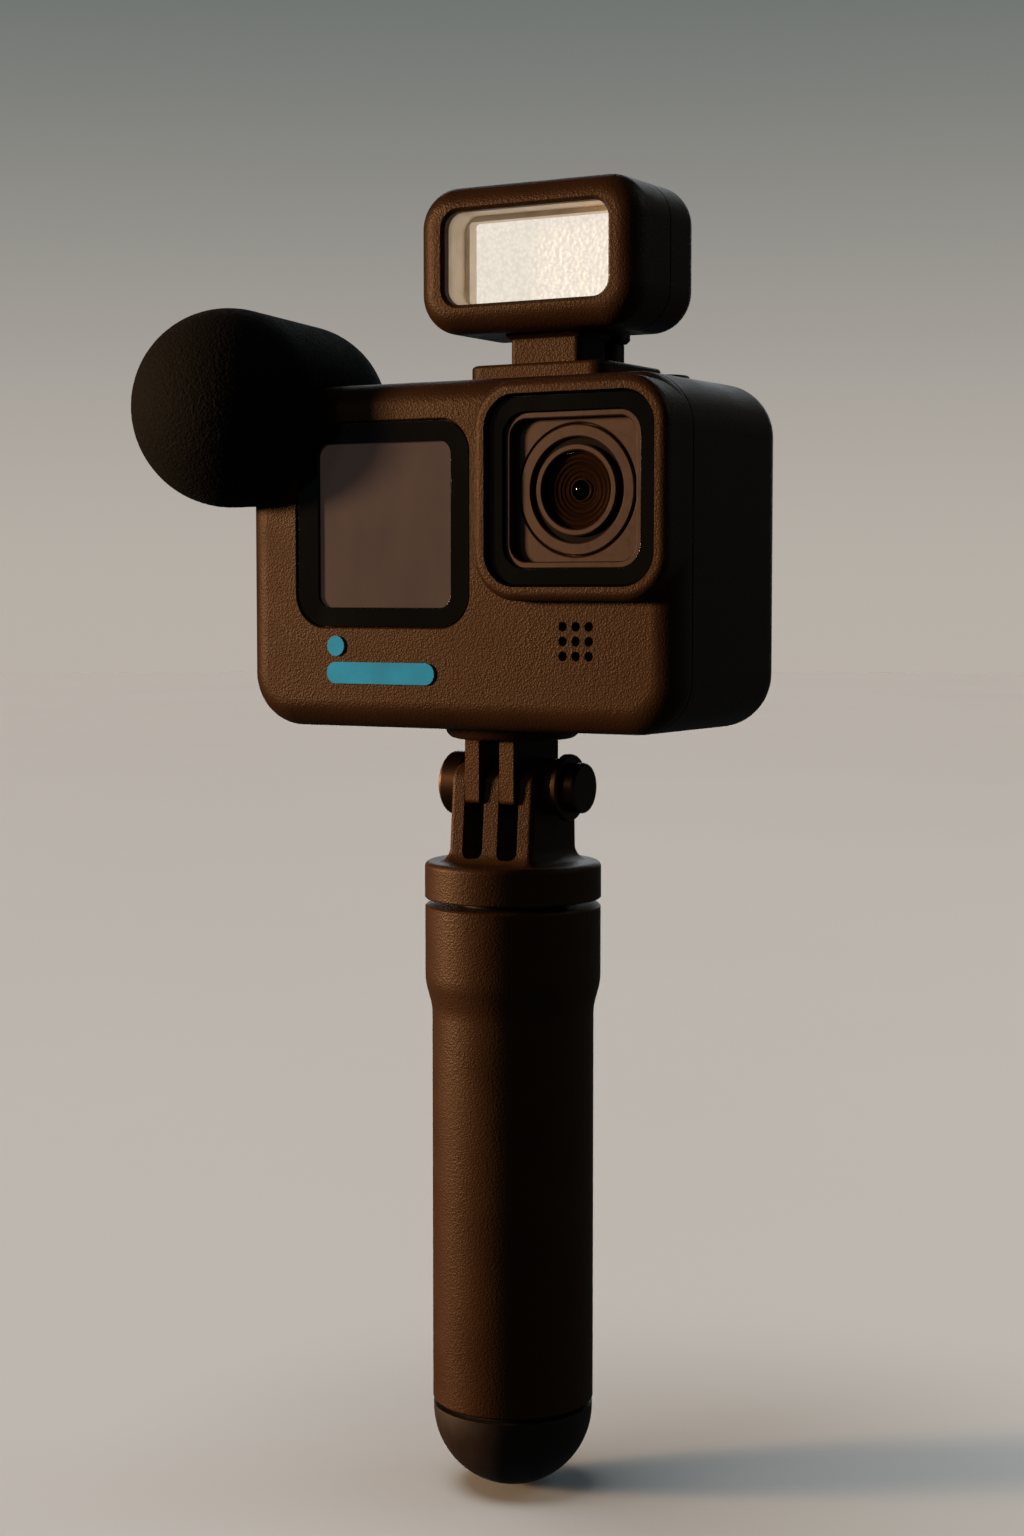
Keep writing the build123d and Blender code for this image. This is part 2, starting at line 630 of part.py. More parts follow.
def battery_door():
    """Side door with its hinge knuckle and the pocket for the latch."""
    foot = Pos((DOOR_FRONT + DOOR_BACK) / 2, DOOR_LOW + 2.0) * Rectangle(DOOR_BACK - DOOR_FRONT, 4.0)
    door = along_x(door_outline() + foot, -SIDE_X, -SIDE_X + WALL)
    pin_x = -SIDE_X + DOOR_KNUCKLE_R
    door += along_y(disc(DOOR_KNUCKLE_R, pin_x, DOOR_LOW), DOOR_FRONT, DOOR_BACK)
    door -= along_y(disc(DOOR_PIN_R + RUNNING, pin_x, DOOR_LOW), DOOR_FRONT, DOOR_BACK)
    pocket = Pos(LATCH_Y, (LATCH_SLOT_LOW + LATCH_SLOT_HIGH) / 2) * Rectangle(
        10.0, LATCH_SLOT_HIGH - LATCH_SLOT_LOW
    )
    return door - along_x(pocket, -SIDE_X, -SIDE_X + 0.9)


def door_pin():
    outline = disc(DOOR_PIN_R, -SIDE_X + DOOR_KNUCKLE_R, DOOR_LOW)
    return along_y(outline, DOOR_FRONT - DOOR_PIN_REACH, DOOR_BACK + DOOR_PIN_REACH)


def door_seal():
    """Rubber ring on the inside of the door."""
    ring = door_outline(2.2) - door_outline(3.4)
    return along_x(ring, -SIDE_X + WALL, -SIDE_X + WALL + 1.0)


def door_latch():
    """Thumb slide in the door, with ribs across it."""
    latch = along_x(Pos(LATCH_Y, 99.2) * Rectangle(9.6, 6.2), -SIDE_X, -SIDE_X + 0.85)
    for rib in range(LATCH_RIBS):
        outline = Pos(LATCH_Y, 97.6 + 1.6 * rib) * Rectangle(7.6, 0.6)
        latch += along_x(outline, -SIDE_X - 0.35, -SIDE_X)
    return latch


def push_button(x, y, radius, top):
    """Round button with a flange that keeps it in its hole."""
    cap = along_z(disc(radius, x, y), top - BUTTON_DEEP, top)
    cap = fillet(cap.faces().sort_by(Axis.Z)[-1].edges(), 0.4)
    return cap + along_z(disc(radius + 1.0, x, y), top - BUTTON_FLANGE_DEEP, top - 2.8)


# ---------------------------------------------------------------- mounting fingers
def mount_fingers():
    """Screwed-on plate with two fingers that take the pivot bolt."""
    plate = along_z(Circle(PAD_R), BODY_LOW - PAD_THICK, BODY_LOW)
    plate = fillet(plate.faces().sort_by(Axis.Z)[0].edges(), PAD_THICK - 0.2)
    depth = FINGER_BACK - FINGER_FRONT
    height = BODY_LOW - 0.5 - (PIVOT_Z - FINGER_DROP)
    side = Pos((FINGER_FRONT + FINGER_BACK) / 2, BODY_LOW - 0.5 - height / 2) * Rectangle(depth, height)
    side = fillet(side.vertices().group_by(Axis.Y)[0], 0.6) + disc(PRONG_TIP_R, 0, PIVOT_Z)
    for side_x in (-PRONG_PITCH / 2, PRONG_PITCH / 2):
        plate += along_x(side, side_x - FINGER_THICK / 2, side_x + FINGER_THICK / 2)
    plate -= along_x(disc(BOLT_R + RUNNING, 0, PIVOT_Z), -10, 10)
    for x, y in pad_screw_places():
        plate -= along_z(disc(SCREW_R, x, y), BODY_LOW - 2, BODY_LOW)
        plate -= along_z(disc(1.4, x, y), BODY_LOW - 2, BODY_LOW - 0.9)
    return plate


def mount_screws():
    screws = []
    for x, y in pad_screw_places():
        shank = along_z(disc(SCREW_R, x, y), BODY_LOW - 0.9, BODY_LOW + WALL)
        head = along_z(disc(1.35, x, y), BODY_LOW - 1.7, BODY_LOW - 0.9)
        screws.append(shank + head)
    return Compound(children=screws)


# ---------------------------------------------------------------- microphone
def mic_arm():
    """Bracket shaped to the casing's left rear edge, which holds the microphone barrel."""
    block = Pos(-41.0, 13.8, 117.8) * Box(10.4, 8.6, 21.6)
    block = fillet(block.edges(), 2.4)
    block -= body_form()
    block -= along_y(disc(MIC_STUB_R, MIC_X, MIC_Z), 9.0, MIC_STUB_BACK)
    for z in MIC_SCREW_Z:
        block -= along_x(disc(0.9, MIC_SCREW_Y + 0.4, z), -50, -SIDE_X)
    return block


def mic_barrel():
    """Slotted metal tube that the foam slips over."""
    barrel = along_y(disc(MIC_R, MIC_X, MIC_Z), MIC_FRONT, MIC_STUB_FRONT)
    barrel = fillet(front_edges(barrel), 0.8)
    barrel += along_y(disc(MIC_STUB_R, MIC_X, MIC_Z), MIC_STUB_FRONT, MIC_STUB_BACK)
    barrel -= along_y(disc(3.2, MIC_X, MIC_Z), MIC_FRONT + 1.0, -9.0)
    for slot in range(4):
        y = -13.6 + 2.0 * slot
        barrel -= along_z(Pos(MIC_X, y) * Rectangle(5.6, 0.8), MIC_Z - 6, MIC_Z + 6)
    for slot in range(-2, 3):
        outline = Pos(MIC_X + 1.1 * slot, MIC_Z) * Rectangle(0.5, 4.4)
        barrel -= along_y(outline, MIC_FRONT, MIC_FRONT + 1.0)
    return barrel


def mic_capsule():
    return along_y(disc(3.1, MIC_X, MIC_Z), -12.9, -9.0)


def windscreen():
    """Egg-shaped foam that slips over the microphone and is relieved for the casing."""
    reach = FOAM_TAIL_Y - FOAM_NOSE_Y
    lean = math.asin((FOAM_NOSE_R - FOAM_TAIL_R) / reach)
    nose_y = FOAM_NOSE_Y + FOAM_NOSE_R * math.sin(lean)
    nose_r = FOAM_NOSE_R * math.cos(lean)
    tail_y = FOAM_TAIL_Y + FOAM_TAIL_R * math.sin(lean)
    tail_r = FOAM_TAIL_R * math.cos(lean)
    end_r = math.sqrt(FOAM_TAIL_R ** 2 - (FOAM_END - FOAM_TAIL_Y) ** 2)
    # radius runs along local X and depth along local Y, about the foam's own axis
    half = FOAM_NOSE_R * math.sin(math.radians(45))
    nose = ThreePointArc((0, FOAM_NOSE_Y - FOAM_NOSE_R), (half, FOAM_NOSE_Y - half), (nose_r, nose_y))
    side = Line((nose_r, nose_y), (tail_r, tail_y))
    middle = math.radians(25)
    tail = ThreePointArc(
        (tail_r, tail_y),
        (FOAM_TAIL_R * math.cos(middle), FOAM_TAIL_Y + FOAM_TAIL_R * math.sin(middle)),
        (end_r, FOAM_END),
    )
    rest = Polyline((end_r, FOAM_END), (0, FOAM_END), (0, FOAM_NOSE_Y - FOAM_NOSE_R))
    foam = revolve(make_face(nose + side + tail + rest), Axis.Y)
    foam = Pos(FOAM_X, 0, FOAM_Z) * foam
    width = BODY_W + 2 * FOAM_RELIEF
    height = BODY_H + 2 * FOAM_RELIEF
    foam -= along_y(rounded(width, height, BODY_CORNER + FOAM_RELIEF, 0, BODY_MID_Z), 0, 40)
    foam -= body_form(FOAM_RELIEF)
    return foam - along_y(disc(MIC_R + 0.1, MIC_X, MIC_Z), MIC_FRONT - 0.4, 20)


# ---------------------------------------------------------------- video light
def light_form():
    """Outside form of the light's casing."""
    form = along_y(rounded(LIGHT_W, LIGHT_H, 6.0, LIGHT_X, LIGHT_Z), LIGHT_FRONT, LIGHT_BACK)
    form = fillet(front_edges(form), LIGHT_FRONT_ROUND)
    return fillet(back_edges(form), LIGHT_BACK_ROUND)


def light_seam_groove():
    """Shallow groove that runs round the light at its seam."""
    outer = rounded(LIGHT_W + 4, LIGHT_H + 4, 8.0, LIGHT_X, LIGHT_Z)
    inner = rounded(LIGHT_W - 0.8, LIGHT_H - 0.8, 5.6, LIGHT_X, LIGHT_Z)
    return along_y(outer - inner, LIGHT_SEAM - 0.13, LIGHT_SEAM + 0.13)


def light_front():
    """Front frame of the light, bevelled round its window."""
    front_space = along_y(Pos(LIGHT_X, LIGHT_Z) * Rectangle(60, 60), -30, LIGHT_SEAM)
    shell = (light_form() & front_space) - light_seam_groove()
    inside = rounded(LIGHT_W - 2 * LIGHT_WALL, LIGHT_H - 2 * LIGHT_WALL, 4.4, LIGHT_X, LIGHT_Z)
    shell -= along_y(inside, LIGHT_FRONT + LIGHT_WALL, LIGHT_SEAM)
    opening = rounded(LIGHT_OPENING_W, LIGHT_OPENING_H, 2.5, LIGHT_X, LIGHT_OPENING_Z)
    shell -= along_y(opening, LIGHT_FRONT, LIGHT_FRONT + LIGHT_WALL)
    rim = shell.faces().sort_by(Axis.Y)[0].inner_wires()[0].edges()
    shell = chamfer(rim, 0.5)
    for side in (-1, 1):
        x = LIGHT_X + LIGHT_SCREW_X * side
        shell += along_y(disc(1.25, x, LIGHT_Z), LIGHT_FRONT + LIGHT_WALL, LIGHT_SEAM)
        shell -= along_y(disc(LIGHT_SCREW_R, x, LIGHT_Z), -8.0, LIGHT_SEAM)
    return shell


def light_rear():
    """Rear case of the light."""
    rear_space = along_y(Pos(LIGHT_X, LIGHT_Z) * Rectangle(60, 60), LIGHT_SEAM, 30)
    shell = (light_form() & rear_space) - light_seam_groove()
    inside = rounded(LIGHT_W - 2 * LIGHT_WALL, LIGHT_H - 2 * LIGHT_WALL, 4.4, LIGHT_X, LIGHT_Z)
    cavity = along_y(inside, LIGHT_SEAM, LIGHT_BACK - LIGHT_WALL)
    shell -= fillet(back_edges(cavity), 2.8)
    for side in (-1, 1):
        x = LIGHT_X + LIGHT_SCREW_X * side
        shell += along_y(disc(1.9, x, LIGHT_Z), LIGHT_SEAM, LIGHT_BACK) & light_form()
        shell -= along_y(disc(LIGHT_SCREW_R, x, LIGHT_Z), LIGHT_SEAM, LIGHT_BACK)
        shell -= along_y(disc(1.2, x, LIGHT_Z), LIGHT_BACK - 2.2, LIGHT_BACK)
    hole = disc(LIGHT_BUTTON_R + BUTTON_GAP, LIGHT_BUTTON_X, LIGHT_Z)
    return shell - along_y(hole, LIGHT_BACK - LIGHT_WALL - 0.2, LIGHT_BACK)


def light_window():
    return along_y(rounded(27.3, 13.6, 2.45, LIGHT_X, LIGHT_OPENING_Z), -10.9, -9.9)


def light_reflector():
    """White tray that holds the window and, behind a lip, the diffuser."""
    outline = rounded(28.8, 15.1, 3.2, LIGHT_X, LIGHT_OPENING_Z)
    hole = rounded(LIGHT_OPENING_W + 0.2, LIGHT_OPENING_H + 0.2, 2.5, LIGHT_X, LIGHT_OPENING_Z)
    lip = rounded(LIGHT_OPENING_W - 1.4, LIGHT_OPENING_H - 1.4, 0.6, LIGHT_X, LIGHT_OPENING_Z)
    return along_y(outline - hole, -10.9, -2.9) + along_y(outline - lip, -6.1, -4.1)


def light_diffuser():
    return along_y(rounded(27.3, 13.6, 2.45, LIGHT_X, LIGHT_OPENING_Z), -4.1, -2.9)


def light_board():
    """Board with three rows of lamps behind the diffuser."""
    board = along_y(rounded(27.4, 15.1, 3.0, LIGHT_X, LIGHT_OPENING_Z), -2.1, -1.1)
    for column in range(6):
        for row in (-1, 0, 1):
            x = LIGHT_X - 10.5 + 4.2 * column
            lamp = Pos(x, LIGHT_OPENING_Z + 4.0 * row) * Rectangle(2.0, 1.6)
            board += along_y(lamp, -2.7, -2.1)
    return board


def light_battery():
    form = Pos(LIGHT_X - 5.0, 2.2, LIGHT_Z) * Box(16.8, 5.4, 14.0)
    return fillet(form.edges(), 1.0)


def light_button():
    cap = along_y(disc(LIGHT_BUTTON_R, LIGHT_BUTTON_X, LIGHT_Z), 5.4, LIGHT_BACK + 0.5)
    cap = fillet(back_edges(cap), 0.3)
    return cap + along_y(disc(LIGHT_BUTTON_R + 0.8, LIGHT_BUTTON_X, LIGHT_Z), 5.4, 6.1)


def light_screws():
    screws = []
    for side in (-1, 1):
        x = LIGHT_X + LIGHT_SCREW_X * side
        shank = along_y(disc(LIGHT_SCREW_R, x, LIGHT_Z), -8.0, LIGHT_BACK - 2.2)
        screws.append(shank + along_y(disc(1.15, x, LIGHT_Z), LIGHT_BACK - 2.2, LIGHT_BACK - 1.2))
    return Compound(children=screws)


def shoe_plate():
    """Low accessory shoe on the casing's top, open at the back."""
    depth = SHOE_BACK - SHOE_FRONT
    middle = (SHOE_FRONT + SHOE_BACK) / 2
    plate = along_z(rounded(SHOE_W, depth, 2.5, LIGHT_X, middle), BODY_TOP, SHOE_TOP)
    plate = fillet(plate.faces().sort_by(Axis.Z)[-1].edges(), 0.6)
    for width, wall, top in ((SLOT_W, 1.6, SLOT_HIGH), (NECK_W, 2.4, SHOE_TOP)):
        cut = Pos(LIGHT_X, middle + wall) * Rectangle(width, depth)
        plate -= along_z(cut, SLOT_LOW, top)
    for x, y in shoe_screw_places():
        plate -= along_z(disc(SCREW_R, x, y), BODY_TOP, SLOT_LOW)
    return plate


def shoe_screws():
    screws = [
        along_z(disc(SCREW_R, x, y), BODY_TOP - WALL, SLOT_LOW) for x, y in shoe_screw_places()
    ]
    return Compound(children=screws)


def light_foot():
    """Shoe foot and the split stem that carries the light."""
    foot = Pos(LIGHT_X, 1.0) * Rectangle(SLOT_W - 0.4, 17.6)
    foot = along_z(foot, SLOT_LOW + 0.06, SLOT_HIGH - 0.06)
    for front, back in ((-6.4, 2.2), (5.0, 8.4)):
        middle = (front + back) / 2
        stem = rounded(STEM_W, back - front, 0.8, LIGHT_X, middle)
        flare = rounded(STEM_W + 1.8, back - front + 1.0, 1.2, LIGHT_X, middle)
        flare = along_z(flare, 131.3, STEM_TOP)
        flare = chamfer(flare.faces().sort_by(Axis.Z)[0].edges(), 0.5)
        foot += along_z(stem, SLOT_HIGH - 0.2, STEM_TOP) + flare
    return foot - light_form()


# ---------------------------------------------------------------- writing
PARTS = {
    "handle_shell": handle_shell,
    "handle_bush": lambda: sleeve(
        HANDLE_BORE_R, MID_TUBE_R + RUNNING, HANDLE_TOP - HANDLE_BUSH_LENGTH, HANDLE_TOP
    ),
    "end_plug": end_plug,
    "end_cap": end_cap,
    "mid_tube": lambda: sleeve(MID_TUBE_R, MID_TUBE_BORE_R, MID_TUBE_LOW, MID_TUBE_HIGH),
    "mid_slider": lambda: sleeve(
        HANDLE_BORE_R - RUNNING, MID_TUBE_R, MID_TUBE_LOW, MID_TUBE_LOW + SLIDER_LENGTH
    ),
    "mid_bush": lambda: sleeve(
        MID_TUBE_BORE_R, INNER_TUBE_R + RUNNING, MID_TUBE_HIGH - MID_BUSH_LENGTH, MID_TUBE_HIGH
    ),
    "inner_tube": lambda: sleeve(INNER_TUBE_R, INNER_TUBE_BORE_R, INNER_TUBE_LOW, INNER_TUBE_HIGH),
    "inner_slider": lambda: sleeve(
        MID_TUBE_BORE_R - RUNNING, INNER_TUBE_R, INNER_TUBE_LOW, INNER_TUBE_LOW + SLIDER_LENGTH
    ),
    "pole_head": pole_head,
    "pivot_bolt": pivot_bolt,
    "clamp_knob": clamp_knob,
    "front_shell": front_shell,
    "rear_shell": rear_shell,
    "front_window": front_window,
    "front_display": front_display,
    "rear_window": rear_window,
    "rear_display": rear_display,
    "badge": badge,
    "lens_frame": lens_frame,
    "lens_surround": lens_surround,
    "lens_ring": lens_ring,
    "lens_barrel": lens_barrel,
    "front_element": lambda: dished(LENS_BORE_R - 0.02, -18.55, -17.75, 0.35),
    "lens_baffle": lens_baffle,
    "inner_element": lambda: dished(1.43, -17.55, -15.0, 0.5),
    "rear_element": lambda: dished(3.95, -11.6, -9.8, 0.5),
    "chassis": chassis,
    "main_board": main_board,
    "sensor_board": sensor_board,
    "image_sensor": image_sensor,
    "speaker": speaker,
    "usb_port": usb_port,
    "memory_card": memory_card,
    "battery": battery,
    "case_screws": case_screws,
    "battery_door": battery_door,
    "door_pin": door_pin,
    "door_seal": door_seal,
    "door_latch": door_latch,
    "shutter_button": lambda: push_button(SHUTTER_X, BUTTON_Y, SHUTTER_R, BODY_TOP + BUTTON_PROUD),
    "mode_button": lambda: push_button(MODE_X, BUTTON_Y, MODE_R, BODY_TOP + BUTTON_PROUD),
    "mount_fingers": mount_fingers,
    "mount_screws": mount_screws,
    "mic_arm": mic_arm,
    "mic_barrel": mic_barrel,
    "mic_capsule": mic_capsule,
    "windscreen": windscreen,
    "light_front": light_front,
    "light_rear": light_rear,
    "light_window": light_window,
    "light_reflector": light_reflector,
    "light_diffuser": light_diffuser,
    "light_board": light_board,
    "light_battery": light_battery,
    "light_button": light_button,
    "light_screws": light_screws,
    "light_foot": light_foot,
    "shoe_plate": shoe_plate,
    "shoe_screws": shoe_screws,
}

os.makedirs("parts", exist_ok=True)
for part_name, make_part in PARTS.items():
    save(part_name, make_part())
print(len(PARTS), "parts written")
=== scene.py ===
import json
import math

import bmesh
import bpy
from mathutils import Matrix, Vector, noise


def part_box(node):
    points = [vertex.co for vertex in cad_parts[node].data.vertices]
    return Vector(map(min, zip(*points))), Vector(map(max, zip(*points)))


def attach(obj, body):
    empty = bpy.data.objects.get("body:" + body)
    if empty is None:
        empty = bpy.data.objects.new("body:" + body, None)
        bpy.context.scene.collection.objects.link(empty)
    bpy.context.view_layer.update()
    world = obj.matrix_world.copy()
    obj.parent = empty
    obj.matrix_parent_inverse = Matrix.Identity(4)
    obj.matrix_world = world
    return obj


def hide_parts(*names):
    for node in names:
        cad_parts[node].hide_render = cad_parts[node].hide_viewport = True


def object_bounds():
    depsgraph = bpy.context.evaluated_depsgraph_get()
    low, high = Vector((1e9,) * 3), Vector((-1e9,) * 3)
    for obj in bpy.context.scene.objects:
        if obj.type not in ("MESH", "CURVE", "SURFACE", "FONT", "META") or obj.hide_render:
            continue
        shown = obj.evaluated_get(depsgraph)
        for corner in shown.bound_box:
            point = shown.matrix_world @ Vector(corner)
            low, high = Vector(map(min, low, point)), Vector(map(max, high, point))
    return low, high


# Action camera on its hand grip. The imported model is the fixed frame; this file adds the finishes,
# the foam of the windscreen, the pebbled panel of the video light, and a plain studio round them.
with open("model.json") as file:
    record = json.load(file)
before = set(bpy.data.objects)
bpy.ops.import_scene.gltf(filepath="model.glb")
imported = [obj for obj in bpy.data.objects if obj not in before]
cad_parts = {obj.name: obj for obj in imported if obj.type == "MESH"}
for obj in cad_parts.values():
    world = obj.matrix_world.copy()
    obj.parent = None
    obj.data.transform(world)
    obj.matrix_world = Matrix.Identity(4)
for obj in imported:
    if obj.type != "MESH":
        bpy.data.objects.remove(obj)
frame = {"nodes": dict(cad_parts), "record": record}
cad_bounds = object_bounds()
nodes = frame["nodes"]
scene = bpy.context.scene

MM = 0.001
MIDDLE = (cad_bounds[0] + cad_bounds[1]) / 2

# ---------------------------------------------------------------- colours, linear
CASING = (0.0255, 0.0108, 0.0041)
GRIP = (0.038, 0.0157, 0.0061)
END_RUBBER = (0.016, 0.0074, 0.0035)
GLOSS_BLACK = (0.0030, 0.0030, 0.0024)
DISPLAY = (0.064, 0.048, 0.046)
# painted reflection: the switched-off display emits this even sky-coloured glow
DISPLAY_PAINTED_REFLECTION = (0.018, 0.012, 0.010)
WARM_SHEEN = (1.0, 0.66, 0.40)
LENS_BRONZE = (0.036, 0.0160, 0.0080)
LENS_BLACK = (0.0030, 0.0026, 0.0022)
GLASS_TINT = (0.84, 0.80, 0.76)
BAFFLE = (0.015, 0.0080, 0.0042)
FOAM = (0.0019, 0.0012, 0.0006)
BLUE = (0.006, 0.290, 0.640)
STEEL = (0.46, 0.44, 0.41)
DARK_STEEL = (0.080, 0.042, 0.023)
POLE = (0.022, 0.016, 0.012)
NYLON = (0.016, 0.014, 0.012)
BOARD = (0.010, 0.060, 0.028)
MILLED = (0.60, 0.60, 0.61)
CELL = (0.060, 0.062, 0.068)
CARD = (0.014, 0.014, 0.015)
SEAL = (0.230, 0.022, 0.014)
LIGHT_WHITE = (0.86, 0.78, 0.66)
PANEL = (1.0, 0.955, 0.885)

# ---------------------------------------------------------------- camera and studio
CAMERA_PLACE = Vector((187.64, -321.41, 93.90)) * MM
CAMERA_TURN = 30.3              # degrees to the right of straight ahead
CAMERA_DIP = 4.06               # degrees below level
CAMERA_LENS = 57.42
KEY_TURN = 54.0                 # degrees to the left of the way the lens looks
KEY_RISE = 8.0                  # degrees above level
KEY_STRENGTH = 4.9
GRIP_KEY_TURN = 66.0            # a second key, turned further, that lights the grip and pivot alone
GRIP_KEY_STRENGTH = 5.3
GRIP_NODES = ("handle_shell", "handle_bush", "end_cap", "mid_tube", "mid_bush", "inner_tube",
              "pole_head", "pivot_bolt", "clamp_knob")
KEY_SPREAD = 11.0               # how wide the key light looks from the object, degrees
KEY_COLOUR = (1.0, 0.64, 0.36)
AREA_LAMPS = {                  # place from the middle of the object, watts, colour, metres across
    "rim": ((0.75, 0.55, 0.75), 1.3, (0.72, 0.90, 1.0), 0.6),
    "back fill": ((-0.45, 1.00, 0.40), 3.0, (0.90, 0.96, 1.0), 0.8),
    "glint": ((-0.50, -0.80, 0.33), 0.22, (1.0, 0.90, 0.78), 0.08),
}
OVERHEAD_PLACE = Vector((-0.3, -0.2, 1.5))
OVERHEAD_SPREAD = 40.0
SKY_COLOUR = (0.50, 0.60, 0.62)
SKY_STRENGTH = 0.060
FLOOR_COLOUR = (0.62, 0.62, 0.61)
FLOOR_LIGHT = 1.75
BACKDROP_LOW = (0.482, 0.438, 0.393)
BACKDROP_HIGH = (0.13, 0.15, 0.145)
BACKDROP_FADE = 0.34            # share of the studio's radius over which the backdrop cools
STUDIO_R = 4.0
STUDIO_STEPS = 96
DOME_STEPS = 12
HUB_R = 0.001                   # hole in the middle of the floor and of the dome
FLOOR_RADII = (HUB_R, 0.3, 1.0, STUDIO_R)
FLOOR_GAP = 0.3 * MM            # between the end cap and the floor

# ---------------------------------------------------------------- relief
FOAM_VOXEL = 0.30 * MM
FOAM_CELL = 0.46 * MM
FOAM_DEPTH = 0.09 * MM
FOAM_WALL = 0.45                # share of a cell that its rounded wall takes
PEBBLE = 0.58 * MM
PEBBLE_DEPTH = 0.18 * MM
PEBBLE_ROUND = 2.2              # how steeply a pebble falls away from its middle
PANEL_CORNER = 2.4 * MM
PANEL_COLUMNS = 150
PANEL_ROWS = 76
GRAIN = 0.32 * MM               # pebbled skin of the casing and the grip
GRAIN_DEPTH = 0.045 * MM
GRAIN_EDGE = 0.16 * MM

# ---------------------------------------------------------------- lens
NOSE_INNER_R = 5.52 * MM        # the barrel is bronze between these radii and black elsewhere
NOSE_OUTER_R = 6.52 * MM
RING_R = 1.52 * MM              # thin ring round the small inner element
RING_THICK = 0.085 * MM
RING_DROP = 0.42 * MM           # how far it sits behind the front of the glass
RING_STEPS = 64
RING_SIDES = 10


# ---------------------------------------------------------------- material helpers
class Finish:
    """One procedural material: a Principled shader and the nodes that drive it."""

    def __init__(self, name, colour, roughness, metallic=0.0, specular=0.5):
        self.material = bpy.data.materials.new(name)
        self.material.use_nodes = True
        self.tree = self.material.node_tree
        self.shader = self.tree.nodes["Principled BSDF"]
        self.colour = colour
        self.roughness = roughness
        self.shader.inputs["Base Color"].default_value = (*colour, 1.0)
        self.shader.inputs["Roughness"].default_value = roughness
        self.shader.inputs["Metallic"].default_value = metallic
        self.shader.inputs["Specular IOR Level"].default_value = specular
        self.place = self.add("ShaderNodeTexCoord").outputs["Object"]
        self.normal = None

    def add(self, kind, **values):
        """A node with some of its input sockets set."""
        made = self.tree.nodes.new(kind)
        for socket, value in values.items():
            made.inputs[socket].default_value = value
        return made

    def link(self, start, end):
        self.tree.links.new(start, end)

    def stretched(self, stretch):
        """Object coordinates scaled along each axis."""
        mapping = self.add("ShaderNodeMapping", Scale=stretch)
        self.link(self.place, mapping.inputs["Vector"])
        return mapping.outputs["Vector"]

    def noise(self, size, detail=2.0, stretch=(1, 1, 1)):
        """Soft noise whose features are about size metres wide."""
        texture = self.add("ShaderNodeTexNoise", Scale=1 / size, Detail=detail)
        self.link(self.stretched(stretch), texture.inputs["Vector"])
        return texture.outputs["Fac"]

    def cells(self, size, feature="F1"):
        """Distance inside rounded cells about size metres wide."""
        texture = self.add("ShaderNodeTexVoronoi", Scale=1 / size)
        texture.feature = feature
        self.link(self.place, texture.inputs["Vector"])
        return texture.outputs["Distance"]

    def rings(self, centre, axis, size):
        """Fine turned rings round a line through centre along axis."""
        separate = self.add("ShaderNodeSeparateXYZ")
        shift = self.add("ShaderNodeVectorMath")
        shift.operation = "SUBTRACT"
        shift.inputs[1].default_value = centre
        self.link(self.place, shift.inputs[0])
        self.link(shift.outputs[0], separate.inputs[0])
        across = [name for name in "XYZ" if name != axis]
        combine = self.add("ShaderNodeCombineXYZ")
        self.link(separate.outputs[across[0]], combine.inputs["X"])
        self.link(separate.outputs[across[1]], combine.inputs["Y"])
        length = self.add("ShaderNodeVectorMath")
        length.operation = "LENGTH"
        self.link(combine.outputs[0], length.inputs[0])
        radius = self.add("ShaderNodeCombineXYZ")
        self.link(length.outputs["Value"], radius.inputs["X"])
        texture = self.add("ShaderNodeTexNoise", Scale=1 / size, Detail=3.0)
        self.link(radius.outputs[0], texture.inputs["Vector"])
        return texture.outputs["Fac"]

    def spread(self, value, low, high, start=0.3, end=0.7):
        """A value rescaled from start..end to low..high."""
        remap = self.add("ShaderNodeMapRange")
        remap.inputs["From Min"].default_value = start
        remap.inputs["From Max"].default_value = end
        remap.inputs["To Min"].default_value = low
        remap.inputs["To Max"].default_value = high
        self.link(value, remap.inputs["Value"])
        return remap.outputs["Result"]

    def tint(self, value, dark, light):
        """Base colour that wanders between darker and lighter."""
        mix = self.add("ShaderNodeMix")
        mix.data_type = "RGBA"
        start = [channel * dark for channel in self.colour]
        end = [channel * light for channel in self.colour]
        mix.inputs["A"].default_value = (*start, 1.0)
        mix.inputs["B"].default_value = (*end, 1.0)
        self.link(self.spread(value, 0.0, 1.0), mix.inputs["Factor"])
        self.link(mix.outputs["Result"], self.shader.inputs["Base Color"])

    def gloss(self, value, change):
        """Roughness that wanders by change either way."""
        spread = self.spread(value, self.roughness - change, self.roughness + change)
        self.link(spread, self.shader.inputs["Roughness"])

    def soften(self, radius):
        """Edges that catch the light as if broken by a small radius."""
        bevel = self.add("ShaderNodeBevel", Radius=radius)
        bevel.samples = 4
        self.normal = bevel.outputs["Normal"]

    def relief(self, height, depth):
        """Fine relief on top of what is there."""
        bump = self.add("ShaderNodeBump", Distance=depth, Strength=1.0)
        self.link(height, bump.inputs["Height"])
        if self.normal is not None:
            self.link(self.normal, bump.inputs["Normal"])
        self.normal = bump.outputs["Normal"]

    def done(self):
        if self.normal is not None:
            self.link(self.normal, self.shader.inputs["Normal"])
        return self.material


